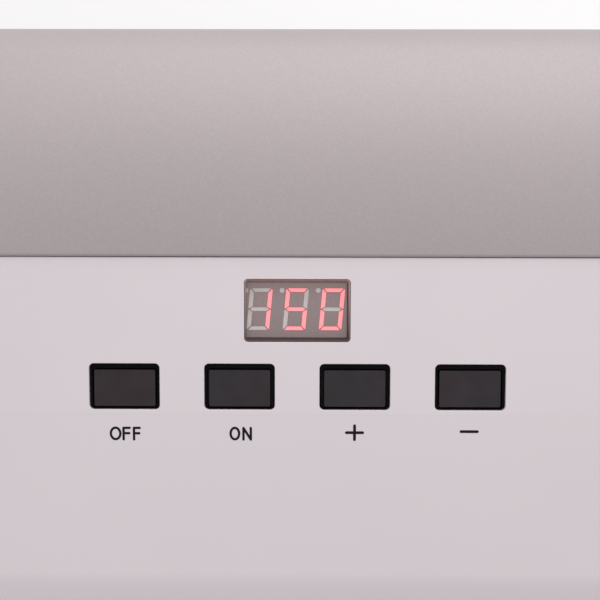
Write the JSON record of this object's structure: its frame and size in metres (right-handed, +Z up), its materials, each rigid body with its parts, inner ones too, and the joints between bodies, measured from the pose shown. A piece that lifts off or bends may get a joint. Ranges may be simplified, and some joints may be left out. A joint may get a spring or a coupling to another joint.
{
  "type": "ceramic space heater",
  "caption": "Free-standing ceramic fan heater with a sloping control deck, numeric display, four keys, front outlet grille and hinged rear intake cover.",
  "frame": {"origin": "on the floor, under the middle of the box around the heater", "axes": "+X to the right of someone facing the front, +Y from the front to the rear, +Z up"},
  "size_m": [0.3016, 0.1966, 0.2941],
  "materials": {
    "white_plastic": "smooth, soft gloss",
    "silver_paint": "fine-grained silver paint",
    "base_plastic": "moulded grain",
    "foot_rubber": "matte",
    "screw_steel": "zinc plated",
    "grille_plastic": "moulded grain",
    "key_plastic": "satin",
    "switch_plastic": "satin",
    "circuit_board": "solder mask",
    "display_face": "grey face",
    "surround_plastic": "smoked",
    "component_black": "satin",
    "connector_plastic": "natural nylon",
    "duct_plastic": "moulded",
    "heat_frame": "glass-filled, matte",
    "fin_aluminium": "mill",
    "stone_ceramic": "sintered",
    "terminal_brass": "plain",
    "cutout_metal": "plain",
    "fan_plastic": "satin",
    "shaft_steel": "ground",
    "core_steel": "laminated",
    "coil_copper": "enamelled",
    "bush_brass": "sintered",
    "filter_foam": "open mesh",
    "inlet_plastic": "satin",
    "rocker_plastic": "glossy",
    "capacitor_case": "glossy",
    "fuse_glass": "clear"
  },
  "bodies": {
    "housing": {"air_duct": "duct_plastic", "base_screws": "screw_steel", "base_tray": "base_plastic", "bearing_brackets": "cutout_metal", "board_connector": "connector_plastic", "board_screws": "screw_steel", "buzzer": "component_black", "ceramic_stones": "stone_ceramic", "control_board": "circuit_board", "control_chip": "component_black", "display_module": "display_face", "display_surround": "surround_plastic", "duct_screws": "screw_steel", "element_frame": "heat_frame", "finger_guard": "grille_plastic", "front_shell": "white_plastic", "fuse": "fuse_glass", "heating_fins": "fin_aluminium", "inlet_pins": "terminal_brass", "inlet_socket": "inlet_plastic", "intake_filter": "filter_foam", "key_bezel": "key_plastic", "line_capacitor": "capacitor_case", "motor_coil": "coil_copper", "motor_mount": "duct_plastic", "motor_mount_screws": "screw_steel", "motor_stator": "core_steel", "outlet_grille": "grille_plastic", "power_board": "circuit_board", "power_board_screws": "screw_steel", "power_relays": "component_black", "rear_shell": "silver_paint", "rubber_feet": "foot_rubber", "shaft_bushes": "bush_brass", "stone_channels": "fin_aluminium", "switch_housing": "component_black", "tact_switches": "switch_plastic", "terminal_blades": "terminal_brass", "terminal_block": "connector_plastic", "thermal_cutout": "cutout_metal", "tip_switch": "component_black"},
    "off_button": {"off_key": "key_plastic", "off_switch_plunger": "switch_plastic"},
    "on_button": {"on_key": "key_plastic", "on_switch_plunger": "switch_plastic"},
    "plus_button": {"plus_key": "key_plastic", "plus_switch_plunger": "switch_plastic"},
    "minus_button": {"minus_key": "key_plastic", "minus_switch_plunger": "switch_plastic"},
    "fan": {"fan_wheel": "fan_plastic", "motor_shaft": "shaft_steel", "motor_rotor": "core_steel", "hub_clip": "cutout_metal"},
    "intake_door": {"intake_cover": "grille_plastic"},
    "rocker": {"power_rocker": "rocker_plastic"},
    "tip_pin": {"tip_plunger": "rocker_plastic"}
  },
  "joints": [
    {"name": "off_press", "type": "slide", "parent": "housing", "child": "off_button", "axis": [0, 0.6428, -0.766], "range_m": [0, 0.0008], "stiffness_N_per_m": 2000},
    {"name": "on_press", "type": "slide", "parent": "housing", "child": "on_button", "axis": [0, 0.6428, -0.766], "range_m": [0, 0.0008], "stiffness_N_per_m": 2000},
    {"name": "plus_press", "type": "slide", "parent": "housing", "child": "plus_button", "axis": [0, 0.6428, -0.766], "range_m": [0, 0.0008], "stiffness_N_per_m": 2000},
    {"name": "minus_press", "type": "slide", "parent": "housing", "child": "minus_button", "axis": [0, 0.6428, -0.766], "range_m": [0, 0.0008], "stiffness_N_per_m": 2000},
    {"name": "fan_spin", "type": "hinge", "parent": "housing", "child": "fan", "pos_m": [0, 0.021, 0.098], "axis": [0, 1, 0], "continuous": true},
    {"name": "cover_swing", "type": "hinge", "parent": "housing", "child": "intake_door", "pos_m": [0, 0.09524, 0.0258], "axis": [-1, 0, 0], "range_deg": [0, 85]},
    {"name": "rocker_tilt", "type": "hinge", "parent": "housing", "child": "rocker", "pos_m": [0.109, 0.09049, 0.086], "axis": [1, 0, 0], "range_deg": [0, 20]},
    {"name": "tip_slide", "type": "slide", "parent": "housing", "child": "tip_pin", "axis": [0, 0, -1], "range_m": [0, 0.005], "stiffness_N_per_m": 60, "springref_m": 0.005}
  ]
}
